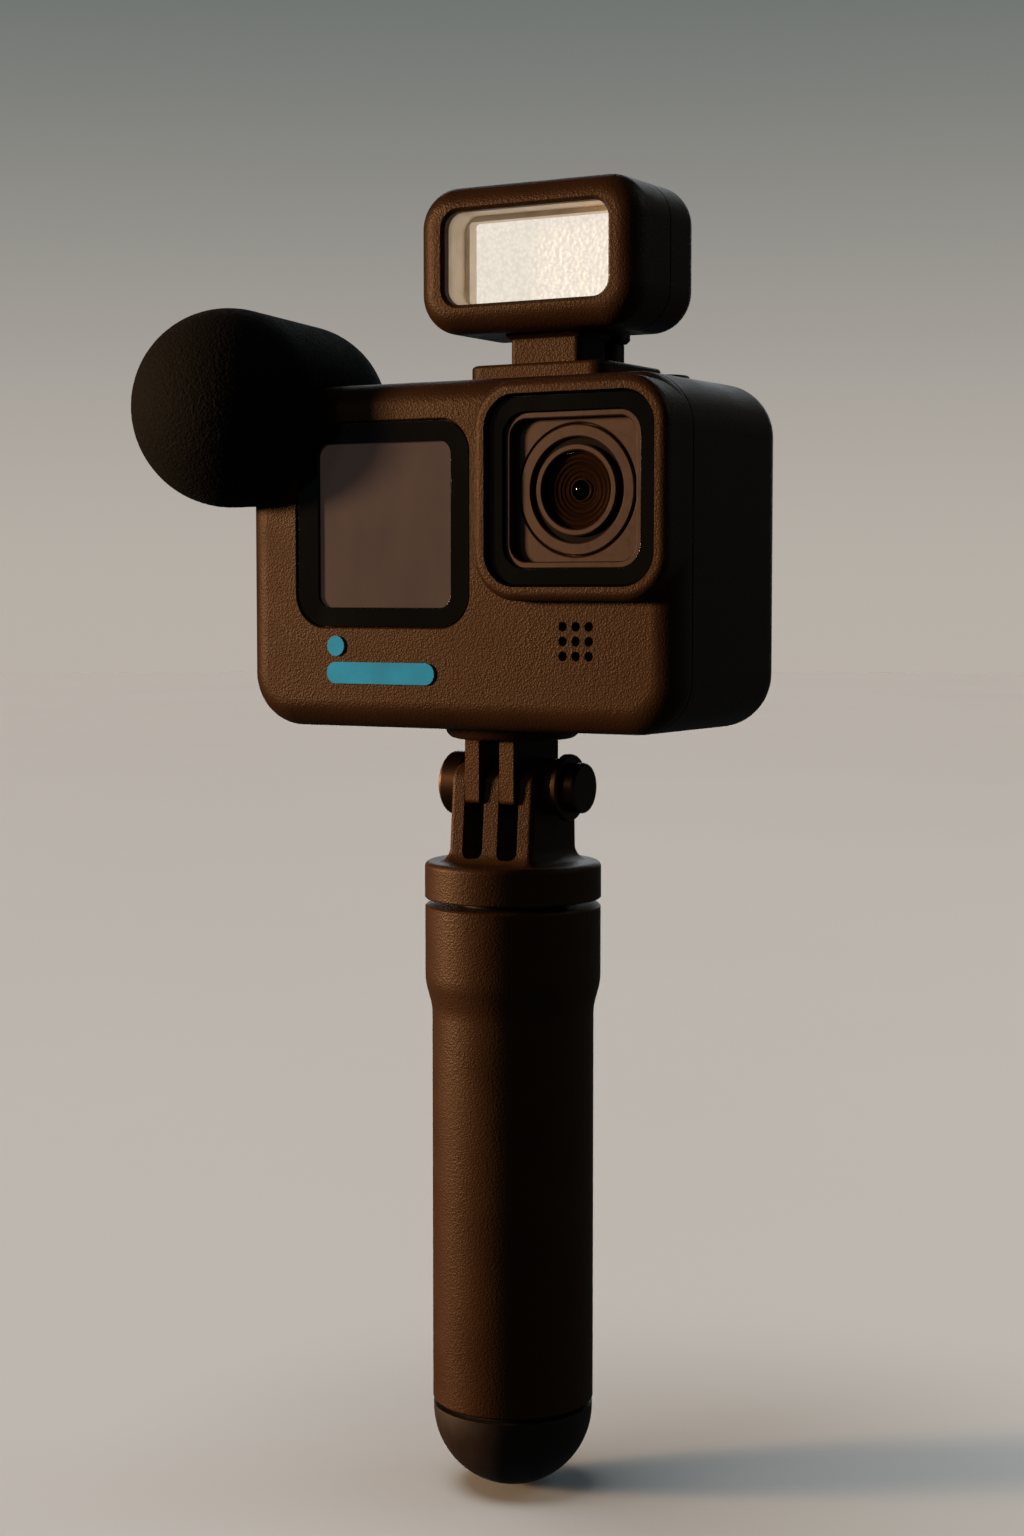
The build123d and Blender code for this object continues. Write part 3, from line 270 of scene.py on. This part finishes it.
def pebbled(name, colour, roughness):
    """Moulded plastic with the fine pebbled skin of the casing and the grip."""
    finish = Finish(name, colour, roughness, specular=0.16)
    finish.shader.inputs["Specular Tint"].default_value = (*WARM_SHEEN, 1.0)
    broad = finish.noise(9 * MM, detail=4.0)
    finish.tint(broad, 0.90, 1.10)
    finish.gloss(broad, 0.05)
    finish.soften(GRAIN_EDGE)
    finish.relief(finish.cells(GRAIN), GRAIN_DEPTH)
    finish.relief(finish.noise(GRAIN * 0.55, detail=1.0), GRAIN_DEPTH * 0.8)
    return finish.done()


def smooth_rubber(name, colour):
    """Matt rubber with hardly any grain."""
    finish = Finish(name, colour, 0.56, specular=0.3)
    finish.tint(finish.noise(6 * MM, detail=5.0), 0.88, 1.12)
    finish.gloss(finish.noise(3 * MM), 0.06)
    finish.soften(0.15 * MM)
    finish.relief(finish.noise(0.16 * MM), 0.006 * MM)
    return finish.done()


def gloss_plate(name, colour, roughness, smear, painted_reflection=(0.0, 0.0, 0.0)):
    """Polished cover with faint smears and, on a screen, an even painted reflection of the sky,
    given as a weak emission glow.
    """
    finish = Finish(name, colour, roughness, specular=0.35)
    # painted reflection: emission that stands in for the sky reflected in the screen
    finish.shader.inputs["Emission Color"].default_value = (*painted_reflection, 1.0)
    finish.shader.inputs["Emission Strength"].default_value = 1.0
    smears = finish.noise(7 * MM, detail=4.0, stretch=(1.0, 1.0, 0.45))
    finish.tint(smears, 0.9, 1.15)
    finish.gloss(smears, smear)
    finish.soften(0.10 * MM)
    return finish.done()


def blasted_metal(name, colour, roughness, metallic, specular=0.25):
    """Bead-blasted, anodised metal."""
    finish = Finish(name, colour, roughness, metallic=metallic, specular=specular)
    finish.tint(finish.noise(4 * MM, detail=4.0), 0.92, 1.08)
    finish.gloss(finish.noise(1.2 * MM), 0.05)
    finish.soften(0.10 * MM)
    finish.relief(finish.noise(0.16 * MM), 0.006 * MM)
    return finish.done()


def drawn_metal(name, colour, roughness, stretch):
    """Metal brushed or drawn along the axis that stretch shortens."""
    finish = Finish(name, colour, roughness, metallic=1.0)
    lines = finish.noise(0.12 * MM, detail=3.0, stretch=stretch)
    finish.tint(lines, 0.85, 1.12)
    finish.gloss(lines, 0.07)
    finish.soften(0.08 * MM)
    finish.relief(lines, 0.004 * MM)
    return finish.done()


def turned_metal(name, colour, roughness, centre, axis, width=0.09 * MM, depth=0.004 * MM):
    """Metal with the fine rings that a lathe leaves."""
    finish = Finish(name, colour, roughness, metallic=1.0)
    rings = finish.rings(centre, axis, width)
    finish.tint(rings, 0.85, 1.12)
    finish.gloss(rings, 0.06)
    finish.soften(0.12 * MM)
    finish.relief(rings, depth)
    return finish.done()


def circuit_board(name, colour):
    """Solder mask with fine copper runs showing through."""
    finish = Finish(name, colour, 0.35)
    finish.tint(finish.cells(1.6 * MM, "DISTANCE_TO_EDGE"), 0.75, 1.5)
    finish.relief(finish.cells(1.6 * MM, "DISTANCE_TO_EDGE"), 0.02 * MM)
    return finish.done()


def moulded(name, colour, roughness, specular=0.4):
    """Plain moulded or painted surface."""
    finish = Finish(name, colour, roughness, specular=specular)
    finish.tint(finish.noise(5 * MM, detail=3.0), 0.88, 1.12)
    finish.gloss(finish.noise(2 * MM), 0.05)
    finish.relief(finish.noise(0.4 * MM), 0.006 * MM)
    return finish.done()


def foam_skin(name, colour):
    """Open-cell foam: painted shade darkens the pits and a painted highlight lightens the struts,
    over bumped cells.
    """
    finish = Finish(name, colour, 0.85, specular=0.12)
    struts_relief_and_painted_light = finish.cells(0.40 * MM)
    # painted shade in the pits and painted highlight on the struts, carried in the base colour
    finish.tint(struts_relief_and_painted_light, 0.20, 2.2)
    finish.relief(struts_relief_and_painted_light, 0.10 * MM)
    finish.relief(finish.noise(0.2 * MM), 0.04 * MM)
    return finish.done()


def see_through(name, tint, sheen_roughness, coating=1.0):
    """Clear glass with reflections on its outer side that grow towards its edges.

    A coating below 1 weakens the reflections.
    """
    finish = Finish(name, tint, sheen_roughness)
    clear = finish.add("ShaderNodeBsdfTransparent", Color=(*tint, 1.0))
    gloss = finish.add("ShaderNodeBsdfGlossy", Roughness=sheen_roughness, Color=(1, 1, 1, 1))
    fresnel = finish.add("ShaderNodeFresnel", IOR=1.45)
    geometry = finish.add("ShaderNodeNewGeometry")
    outside = finish.add("ShaderNodeMapRange")
    outside.inputs["To Min"].default_value = coating
    outside.inputs["To Max"].default_value = 0.0
    share = finish.add("ShaderNodeMath")
    share.operation = "MULTIPLY"
    share.use_clamp = True
    mix = finish.add("ShaderNodeMixShader")
    finish.relief(finish.noise(1.5 * MM, detail=1.0), 0.0008 * MM)
    finish.link(finish.normal, gloss.inputs["Normal"])
    finish.link(geometry.outputs["Backfacing"], outside.inputs["Value"])
    finish.link(fresnel.outputs[0], share.inputs[0])
    finish.link(outside.outputs["Result"], share.inputs[1])
    finish.link(share.outputs[0], mix.inputs["Fac"])
    finish.link(clear.outputs[0], mix.inputs[1])
    finish.link(gloss.outputs[0], mix.inputs[2])
    finish.link(mix.outputs[0], finish.tree.nodes["Material Output"].inputs["Surface"])
    finish.tree.nodes.remove(finish.shader)
    return finish.material


def glowing(name, colour, strength, cell):
    """Milky plastic lit from behind, a little brighter in the middle of each pebble."""
    finish = Finish(name, [0.04 * channel for channel in colour], 0.45)
    cells = finish.cells(cell)
    finish.tint(cells, 1.0, 0.8)
    finish.link(finish.spread(cells, strength * 1.08, strength * 0.92, 0.1, 0.8),
                finish.shader.inputs["Emission Strength"])
    finish.shader.inputs["Emission Color"].default_value = (*colour, 1.0)
    return finish.done()


PIVOT = sum(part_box("clamp_knob"), Vector()) / 2
MATERIALS = {
    "casing": pebbled("casing", CASING, 0.46),
    "grip_plastic": pebbled("grip_plastic", GRIP, 0.46),
    "end_rubber": smooth_rubber("end_rubber", END_RUBBER),
    "gloss_black": gloss_plate("gloss_black", GLOSS_BLACK, 0.10, smear=0.02),
    "display": gloss_plate("display", DISPLAY, 0.12, smear=0.02, painted_reflection=DISPLAY_PAINTED_REFLECTION),
    "lens_bronze": blasted_metal("lens_bronze", LENS_BRONZE, 0.42, 0.25),
    "lens_black": blasted_metal("lens_black", LENS_BLACK, 0.55, 0.0, specular=0.04),
    "lens_glass": see_through("lens_glass", GLASS_TINT, 0.015),
    "steel": drawn_metal("steel", STEEL, 0.28, (1.0, 1.0, 0.05)),
    "dark_steel": turned_metal("dark_steel", DARK_STEEL, 0.42, PIVOT, "X"),
    "pole_aluminium": drawn_metal("pole_aluminium", POLE, 0.46, (1.0, 1.0, 0.03)),
    "bush_nylon": moulded("bush_nylon", NYLON, 0.5),
    "board": circuit_board("board", BOARD),
    "chassis_aluminium": drawn_metal("chassis_aluminium", MILLED, 0.36, (0.05, 1.0, 1.0)),
    "cell": moulded("cell", CELL, 0.42),
    "card": moulded("card", CARD, 0.40),
    "blue_mark": moulded("blue_mark", BLUE, 0.5, specular=0.1),
    "seal_rubber": moulded("seal_rubber", SEAL, 0.5),
    "foam": foam_skin("foam", FOAM),
    "light_cover": see_through("light_cover", (0.97, 0.95, 0.92), 0.03),
    "light_white": moulded("light_white", LIGHT_WHITE, 0.5),
    "light_panel": glowing("light_panel", PANEL, 0.89, PEBBLE),
}
for subpart in frame["record"]["subparts"]:
    mesh = nodes[subpart["node"]].data
    mesh.materials.clear()
    mesh.materials.append(MATERIALS[subpart["material_slot"]])


def paint_barrel():
    """Blacken the barrel outside its bronze nose, warm the light trap and coat the front glass."""
    axis = sum(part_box("lens_ring"), Vector()) / 2
    mesh = nodes["lens_barrel"].data
    mesh.materials.append(MATERIALS["lens_black"])
    for face in mesh.polygons:
        radius = math.hypot(face.center.x - axis.x, face.center.z - axis.z)
        face.material_index = 0 if NOSE_INNER_R < radius < NOSE_OUTER_R else 1
    front = nodes["front_element"].data
    front.materials.clear()
    front.materials.append(see_through("coated_glass", GLASS_TINT, 0.015, coating=0.10))
    trap = nodes["lens_baffle"].data
    trap.materials.clear()
    trap.materials.append(turned_metal("lens_trap", BAFFLE, 0.34, axis, "Y", 0.55 * MM, 0.050 * MM))


paint_barrel()


# ---------------------------------------------------------------- new pieces
def new_piece(name, mesh, body, slot, replaced):
    """A piece that rides on a body and stands for one CAD node."""
    piece = bpy.data.objects.new(name, mesh)
    scene.collection.objects.link(piece)
    mesh.materials.clear()
    mesh.materials.append(MATERIALS[slot])
    mesh.shade_smooth()
    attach(piece, body)
    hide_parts(replaced)
    return piece


def remeshed(mesh, voxel):
    """An even, closed copy of a mesh, made of squares voxel metres wide."""
    block = bpy.data.objects.new("block", mesh)
    scene.collection.objects.link(block)
    remesh = block.modifiers.new("voxels", "REMESH")
    remesh.mode = "VOXEL"
    remesh.voxel_size = voxel
    smooth = block.modifiers.new("smooth", "SMOOTH")
    smooth.factor = 0.5
    smooth.iterations = 3
    bpy.context.view_layer.update()
    evaluated = block.evaluated_get(bpy.context.evaluated_depsgraph_get())
    made = bpy.data.meshes.new_from_object(evaluated)
    bpy.data.objects.remove(block)
    return made


def foam_windscreen():
    """The windscreen's foam, with its open cells pressed in as real relief."""
    mesh = remeshed(nodes["windscreen"].data.copy(), FOAM_VOXEL)
    moved = []
    for vertex in mesh.vertices:
        near, far = noise.voronoi(vertex.co / FOAM_CELL)[0][:2]
        pit = min(1.0, (far - near) / FOAM_WALL)
        moved.append(vertex.co - vertex.normal * FOAM_DEPTH * pit)
    for vertex, place in zip(mesh.vertices, moved):
        vertex.co = place
    piece = new_piece("foam_windscreen", mesh, "windscreen", "foam", "windscreen")


def pebbled_panel():
    """The light's diffuser: a sheet with rounded corners and a pebbled front."""
    low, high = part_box("light_diffuser")
    middle = (low + high) / 2
    half_w = (high.x - low.x) / 2
    half_h = (high.z - low.z) / 2
    form = bmesh.new()
    front = []
    for row in range(PANEL_ROWS + 1):
        z = -half_h + 2 * half_h * row / PANEL_ROWS
        into = max(0.0, abs(z) - (half_h - PANEL_CORNER))
        width = half_w - PANEL_CORNER + math.sqrt(max(0.0, PANEL_CORNER ** 2 - into ** 2))
        line = []
        for column in range(PANEL_COLUMNS + 1):
            x = -width + 2 * width * column / PANEL_COLUMNS
            place = Vector((middle.x + x, 0.0, middle.z + z))
            near = noise.voronoi(place / PEBBLE)[0][0]
            y = low.y + PEBBLE_DEPTH * min(1.0, near ** 2 * PEBBLE_ROUND)
            line.append(form.verts.new((place.x, y, place.z)))
        front.append(line)
    for below, above in zip(front, front[1:]):
        for left in range(PANEL_COLUMNS):
            form.faces.new((below[left], below[left + 1], above[left + 1], above[left]))
    border = [edge for edge in form.edges if edge.is_boundary]
    walls = bmesh.ops.extrude_edge_only(form, edges=border)["geom"]
    back = [item for item in walls if isinstance(item, bmesh.types.BMVert)]
    for vertex in back:
        vertex.co.y = high.y
    rim = [item for item in walls if isinstance(item, bmesh.types.BMEdge)]
    rim = [edge for edge in rim if edge.is_boundary]
    bmesh.ops.contextual_create(form, geom=rim)
    bmesh.ops.recalc_face_normals(form, faces=form.faces)
    mesh = bpy.data.meshes.new("light_panel_sheet")
    form.to_mesh(mesh)
    form.free()
    new_piece("light_panel_sheet", mesh, "light", "light_panel", "light_diffuser")


def retaining_ring():
    """Thin bright ring round the small inner element of the lens."""
    low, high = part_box("inner_element")
    middle = (low + high) / 2
    seat = low.y + RING_DROP
    form = bmesh.new()
    loops = []
    for step in range(RING_STEPS):
        turn = 2 * math.pi * step / RING_STEPS
        loop = []
        for part in range(RING_SIDES):
            roll = 2 * math.pi * part / RING_SIDES
            radius = RING_R + RING_THICK * math.cos(roll)
            x = middle.x + radius * math.cos(turn)
            z = middle.z + radius * math.sin(turn)
            loop.append(form.verts.new((x, seat + RING_THICK * math.sin(roll), z)))
        loops.append(loop)
    for loop, after in zip(loops, loops[1:] + loops[:1]):
        for part in range(RING_SIDES):
            other = (part + 1) % RING_SIDES
            form.faces.new((loop[part], loop[other], after[other], after[part]))
    bmesh.ops.recalc_face_normals(form, faces=form.faces)
    mesh = bpy.data.meshes.new("retaining_ring")
    form.to_mesh(mesh)
    form.free()
    mesh.materials.append(MATERIALS["lens_bronze"])
    mesh.shade_smooth()
    ring = bpy.data.objects.new("retaining_ring", mesh)
    scene.collection.objects.link(ring)
    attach(ring, "camera")


foam_windscreen()
pebbled_panel()
retaining_ring()


# ---------------------------------------------------------------- studio
def turned_profile(name, profile, steps, material):
    """A stage surface turned about the vertical axis from radius and height points."""
    form = bmesh.new()
    rings = []
    for radius, height in profile:
        ring = []
        for step in range(steps):
            angle = 2 * math.pi * step / steps
            ring.append(form.verts.new((radius * math.cos(angle), radius * math.sin(angle), height)))
        rings.append(ring)
    for inner, outer in zip(rings, rings[1:]):
        for step in range(steps):
            after = (step + 1) % steps
            form.faces.new((inner[step], outer[step], outer[after], inner[after]))
    mesh = bpy.data.meshes.new(name)
    form.to_mesh(mesh)
    form.free()
    mesh.materials.append(material)
    mesh.shade_smooth()
    stage = bpy.data.objects.new(name, mesh)
    scene.collection.objects.link(stage)
    return stage


def floor_finish():
    """Plain pale floor, hardly mottled."""
    finish = Finish("studio_floor", FLOOR_COLOUR, 0.85, specular=0.2)
    finish.tint(finish.noise(0.35, detail=3.0), 0.985, 1.015)
    return finish.done()


def backdrop_finish():
    """Backdrop that goes evenly from the floor's tone to a cooler grey higher up."""
    material = bpy.data.materials.new("studio_backdrop")
    material.use_nodes = True
    tree = material.node_tree
    tree.nodes.remove(tree.nodes["Principled BSDF"])
    place = tree.nodes.new("ShaderNodeTexCoord")
    split = tree.nodes.new("ShaderNodeSeparateXYZ")
    rise = tree.nodes.new("ShaderNodeMapRange")
    rise.interpolation_type = "SMOOTHSTEP"
    rise.inputs["From Min"].default_value = 0.0
    rise.inputs["From Max"].default_value = STUDIO_R * BACKDROP_FADE
    mix = tree.nodes.new("ShaderNodeMix")
    mix.data_type = "RGBA"
    mix.inputs["A"].default_value = (*BACKDROP_LOW, 1.0)
    mix.inputs["B"].default_value = (*BACKDROP_HIGH, 1.0)
    glow = tree.nodes.new("ShaderNodeEmission")
    tree.links.new(place.outputs["Object"], split.inputs[0])
    tree.links.new(split.outputs["Z"], rise.inputs["Value"])
    tree.links.new(rise.outputs["Result"], mix.inputs["Factor"])
    tree.links.new(mix.outputs["Result"], glow.inputs["Color"])
    tree.links.new(glow.outputs[0], tree.nodes["Material Output"].inputs["Surface"])
    return material


def make_studio():
    """Round floor under a domed backdrop, and the faint light of the sky."""
    ground = cad_bounds[0].z - FLOOR_GAP
    flat = [(radius, ground) for radius in FLOOR_RADII]
    floor = turned_profile("studio_floor", flat, STUDIO_STEPS, floor_finish())
    wall = [(STUDIO_R, ground)]
    for step in range(1, DOME_STEPS + 1):
        angle = math.radians(90 * step / DOME_STEPS)
        wall.append((STUDIO_R * math.cos(angle) + HUB_R, ground + STUDIO_R * math.sin(angle)))
    backdrop = turned_profile("studio_backdrop", wall, STUDIO_STEPS, backdrop_finish())
    backdrop.visible_shadow = False
    for stage in (floor, backdrop):
        stage.visible_diffuse = False
        stage.visible_glossy = False
    world = bpy.data.worlds.new("studio")
    world.use_nodes = True
    world.node_tree.nodes["Background"].inputs["Color"].default_value = (*SKY_COLOUR, 1.0)
    world.node_tree.nodes["Background"].inputs["Strength"].default_value = SKY_STRENGTH
    scene.world = world


def aim(item, target):
    """Turn an item at its place towards a point."""
    item.rotation_euler = (target - item.location).to_track_quat("-Z", "Y").to_euler()


def lamp(name, kind, place, target, energy, colour, size):
    """A lamp aimed at target; size is degrees for a sun and metres for an area lamp."""
    light = bpy.data.lights.new(name, kind)
    light.energy = energy
    light.color = colour
    if kind == "SUN":
        light.angle = math.radians(size)
    else:
        light.size = size
    made = bpy.data.objects.new(name, light)
    made.location = place
    scene.collection.objects.link(made)
    aim(made, target)
    return made


def key_lamp(name, turn, strength):
    """Low warm sun, turned to the left of the way the lens looks."""
    turn = math.radians(turn)
    rise = math.radians(KEY_RISE)
    level = math.cos(rise)
    towards = Vector((-math.sin(turn) * level, -math.cos(turn) * level, math.sin(rise)))
    return lamp(name, "SUN", MIDDLE + towards, MIDDLE, strength, KEY_COLOUR, KEY_SPREAD)


def linked(name, members, state):
    """Collection that a lamp reaches alone, or leaves out."""
    collection = bpy.data.collections.new(name)
    for member in members:
        collection.objects.link(nodes[member] if member in nodes else bpy.data.objects[member])
    for member in collection.collection_objects:
        member.light_linking.link_state = state
    return collection


def make_lights():
    """The two keys, the weak fills, and a sun that only the floor receives."""
    key = key_lamp("key", KEY_TURN, KEY_STRENGTH)
    grip_key = key_lamp("grip key", GRIP_KEY_TURN, GRIP_KEY_STRENGTH)
    lamps = {}
    for name, (place, energy, colour, size) in AREA_LAMPS.items():
        lamps[name] = lamp(name, "AREA", MIDDLE + Vector(place), MIDDLE, energy, colour, size)
    above = MIDDLE + OVERHEAD_PLACE
    overhead = lamp("overhead", "SUN", above, MIDDLE, FLOOR_LIGHT, (1, 1, 1), OVERHEAD_SPREAD)
    for light, members, state in (
        (key, GRIP_NODES, "EXCLUDE"),
        (grip_key, GRIP_NODES, "INCLUDE"),
        (overhead, ["studio_floor"], "INCLUDE"),
        (lamps["back fill"], ["studio_floor"], "EXCLUDE"),
    ):
        light.light_linking.receiver_collection = linked(light.name + " receivers", members, state)


def make_camera():
    """The view from a little above, with the front and the lens side turned towards it."""
    data = bpy.data.cameras.new("camera")
    data.sensor_fit = "VERTICAL"
    data.sensor_height = 36.0
    data.lens = CAMERA_LENS
    data.clip_start = 0.01
    data.clip_end = 20.0
    camera = bpy.data.objects.new("view", data)
    camera.location = CAMERA_PLACE
    camera.rotation_euler = (math.radians(90 - CAMERA_DIP), 0.0, math.radians(CAMERA_TURN))
    scene.collection.objects.link(camera)
    scene.camera = camera


make_studio()
make_lights()
make_camera()
scene.view_settings.view_transform = "Standard"
